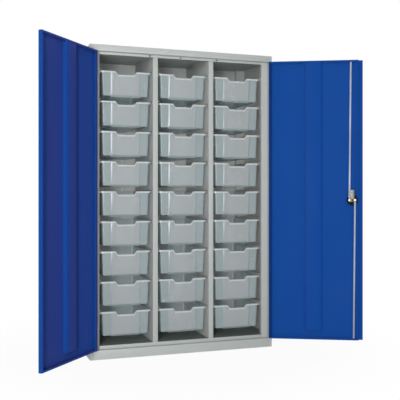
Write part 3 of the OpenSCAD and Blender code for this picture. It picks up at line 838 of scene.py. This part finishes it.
def makeCam():
    k, m = lock, camSize
    back, face, half = k["camY"], k["camY"] + k["camThick"], m["armWide"] / 2
    plate = lockBlock(-k["crank"], k["crank"], back, face, -half, half)
    for side in (-1, 1):
        end = lockRod(half, back + hair, face - hair, x=side * k["crank"])
        cutWith(plate, end, "UNION")
    tongue = lockBlock(-m["tongueWide"] / 2, m["tongueWide"] / 2, back - hair, face + hair,
                       m["tongueFoot"], m["tongue"])
    startEdit(tongue)
    pickEdges(tongue, lambda c, way, faces: abs(way.y) > along
              and c.z > k["z"] + m["tongue"] - near)
    bpy.ops.mesh.bevel(offset=m["tongueRound"], segments=4, affect="EDGES")
    cutLines(tongue, 2, [k["z"] + m["joggle"], k["z"] + m["joggle"] + m["joggleRun"]])
    pickPoints(tongue, lambda p: p.z > k["z"] + m["joggle"] + 2 * near)
    bpy.ops.transform.translate(value=(0, m["joggleStep"], 0))
    endEdit()
    cutWith(plate, tongue, "UNION")
    cutWith(plate, lockRod(k["spindle"] + hair, m["boreFrom"], m["boreTo"]))
    softenEdges(plate, k["small"])
    pins = []
    for side in (-1, 1):
        for radius, y0, y1, sides in (
                (m["pin"], k["depth"] + m["lap"], back + m["pinInto"], 20),
                (m["collar"], k["rodY"] + k["rodThick"] + k["play"], back + m["collarInto"], 24),
                (m["head"], face - m["lap"], face + m["headHigh"], 24)):
            pins.append(lockRod(radius, y0, y1, x=side * k["crank"], sides=sides))
    for pin in pins:
        softenEdges(pin, k["small"])
    nut = lockRod(m["nut"], face, face + m["nutHigh"], sides=6)
    softenEdges(nut, m["nutRound"])
    cutWith(nut, lockRod(k["spindle"] - m["lap"], m["boreFrom"], m["nutTo"]))
    for metal, parts in ((camSteel, [plate, nut]), (zincSteel, pins)):
        for part in parts:
            part.data.materials.append(metal)
    cam = joinPieces("lockCam", [plate, nut] + pins)
    smoothFaces(cam)
    return cam


rodSize = {"wide": 0.010, "long": 0.865, "endRound": 0.003, "eye": 0.007, "hole": 0.00305,
           "holeDeep": 0.02}


def makeRod(name, side):
    k, r = lock, rodSize
    low, high = (0, r["long"]) if side > 0 else (-r["long"], 0)
    bar = newBlock(name, (-r["wide"] / 2, k["rodY"], low),
                   (r["wide"] / 2, k["rodY"] + k["rodThick"], high))
    startEdit(bar)
    pickEdges(bar, lambda c, way, faces: abs(way.y) > along and abs(c.z) > r["long"] / 2)
    bpy.ops.mesh.bevel(offset=r["endRound"], segments=3, affect="EDGES")
    endEdit()
    eye = newRod("eye", (0, k["rodY"] + k["rodThick"] / 2, 0), r["eye"], k["rodThick"], "Y")
    cutWith(bar, eye, "UNION")
    cutWith(bar, newRod("hole", (0, k["rodY"], 0), r["hole"], r["holeDeep"], "Y", 20))
    softenEdges(bar, k["small"])
    smoothFaces(bar)
    lean = math.asin(k["crank"] / 2 / r["long"])
    hung = Matrix.Translation(atLock(-side * k["crank"], 0, 0))
    movePiece(bar, hung @ Matrix.Rotation(lean, 4, "Y"))
    return bar


guideSize = {"high": 0.010, "wall": 0.008, "front": 0.0005, "back": 0.003, "round": 0.0012}


def makeGuides():
    k, g, blocks = lock, guideSize, []
    wide = k["slotWide"] / 2 + g["wall"]
    top, bottom = door["high"] - door["sheet"], door["low"] + door["sheet"]
    for x, z0, z1 in ((k["x"] - k["slotShift"], top - g["high"], top),
                      (k["x"] + k["slotShift"], bottom, bottom + g["high"])):
        block = newBlock("guide", (x - wide, k["rodY"] - g["wall"] / 2 - g["front"], z0),
                         (x + wide, k["rodY"] + k["rodThick"] + g["back"], z1))
        softenEdges(block, g["round"], 3)
        cutWith(block, rodSlot(x, (z0 + z1) / 2))
        blocks.append(block)
    guides = joinPieces("rodGuides", blocks)
    smoothFaces(guides)
    return guides


dress(hang(makeHousing(), 1), blackPlastic, "black_plastic", "right_door", "handle_housing")
dress(hang(makeHandle(), 1), blackPlastic, "black_plastic", "lock", "turn_handle")
dress(hang(makeBarrel(), 1), zincSteel, "zinc_steel", "lock", "lock_barrel")
dress(hang(makeCam(), 1), None, "cam_steel", "lock", "lock_cam")
dress(hang(makeRod("upperRod", 1), 1), rodSteel, "rod_steel", "upper_rod", "upper_rod")
dress(hang(makeRod("lowerRod", -1), 1), rodSteel, "rod_steel", "lower_rod", "lower_rod")
dress(hang(makeGuides(), 1), blackPlastic, "black_plastic", "right_door", "rod_guides")
print("lock fitted")


studio = {
    "floor": (0.90, 0.90, 0.90), "floorSize": 60, "floorDrop": 0.0005,
    "world": (0.95, 0.98, 1.0), "worldLevel": 0.26, "aim": (0, 0, 0.9),
    "key": {"place": (-3.0, -6.0, 1.75), "size": (0.9, 3.4), "power": 245},
    "top": {"place": (-0.6, -2.6, 4.2), "size": (2.2, 2.2), "power": 14},
    "low": {"place": (-1.6, -5.0, 0.35), "size": (2.2, 0.6), "power": 62},
    "back": {"place": (-2.2, 5.0, 2.0), "size": (2.0, 2.0), "power": 95},
    "side": {"place": (5.0, 2.2, 2.0), "size": (2.0, 2.0), "power": 60},
    "shadowFrom": 0.8, "shadowTo": 1.6,  # metres from the middle, where the shadow fades out
    "shadowShare": 0.06,                 # how much of the shaded floor shows through the white
}


def newLamp(name, place, size, power):
    lamp = bpy.data.objects.new(name + "Lamp", bpy.data.lights.new(name + "Lamp", "AREA"))
    lamp.data.shape = "RECTANGLE"
    lamp.data.size, lamp.data.size_y = size
    lamp.data.energy = power
    lamp.location = place
    way = Vector(studio["aim"]) - Vector(place)
    lamp.rotation_euler = way.to_track_quat("-Z", "Y").to_euler()
    bpy.context.scene.collection.objects.link(lamp)


for name in ("key", "top", "low", "back", "side"):
    newLamp(name, **studio[name])


def seenRays(tree):  # 1 for rays that see the background: from the eye, a gloss or a glass
    path = tree.nodes.new("ShaderNodeLightPath")
    total = path.outputs["Is Camera Ray"]
    for name in ("Is Glossy Ray", "Is Transmission Ray"):
        more = tree.nodes.new("ShaderNodeMath")
        more.operation = "MAXIMUM"
        tree.links.new(total, more.inputs[0])
        tree.links.new(path.outputs[name], more.inputs[1])
        total = more.outputs[0]
    return total


def makeFloor():
    clearSelection()
    bpy.ops.mesh.primitive_plane_add(size=studio["floorSize"],
                                     location=(0, 0, -studio["floorDrop"]))
    floor = bpy.context.active_object
    floor.name = "studioFloor"
    material = bpy.data.materials.new("floorPaint")
    material.use_nodes = True
    tree = material.node_tree
    shader = tree.nodes["Principled BSDF"]
    shader.inputs["Base Color"].default_value = (*studio["floor"], 1)
    shader.inputs["Roughness"].default_value = 0.9
    shader.inputs["Specular IOR Level"].default_value = 0.1
    glow = tree.nodes.new("ShaderNodeEmission")
    where = tree.nodes.new("ShaderNodeTexCoord")
    far = tree.nodes.new("ShaderNodeVectorMath")
    far.operation = "LENGTH"
    fade = tree.nodes.new("ShaderNodeMapRange")
    fade.inputs["From Min"].default_value = studio["shadowFrom"]
    fade.inputs["From Max"].default_value = studio["shadowTo"]
    fade.inputs["To Min"].default_value = 1 - studio["shadowShare"]
    share = tree.nodes.new("ShaderNodeMath")
    share.operation = "MULTIPLY"
    mix = tree.nodes.new("ShaderNodeMixShader")
    tree.links.new(where.outputs["Object"], far.inputs[0])
    tree.links.new(far.outputs["Value"], fade.inputs["Value"])
    tree.links.new(fade.outputs["Result"], share.inputs[0])
    tree.links.new(seenRays(tree), share.inputs[1])
    tree.links.new(share.outputs[0], mix.inputs[0])
    tree.links.new(shader.outputs[0], mix.inputs[1])
    tree.links.new(glow.outputs[0], mix.inputs[2])
    tree.links.new(mix.outputs[0], tree.nodes["Material Output"].inputs["Surface"])
    floor.data.materials.append(material)


def makeWorld():
    world = bpy.data.worlds.new("studioWorld")
    bpy.context.scene.world = world
    world.use_nodes = True
    tree = world.node_tree
    base = tree.nodes["Background"]
    base.inputs["Color"].default_value = (*studio["world"], 1)
    base.inputs["Strength"].default_value = studio["worldLevel"]
    white = tree.nodes.new("ShaderNodeBackground")
    white.inputs["Color"].default_value = (1, 1, 1, 1)
    mix = tree.nodes.new("ShaderNodeMixShader")
    tree.links.new(seenRays(tree), mix.inputs[0])
    tree.links.new(base.outputs[0], mix.inputs[1])
    tree.links.new(white.outputs[0], mix.inputs[2])
    tree.links.new(mix.outputs[0], tree.nodes["World Output"].inputs["Surface"])


makeFloor()
makeWorld()
bpy.context.scene.view_settings.view_transform = "Standard"
print("studio lit")

clearSelection()
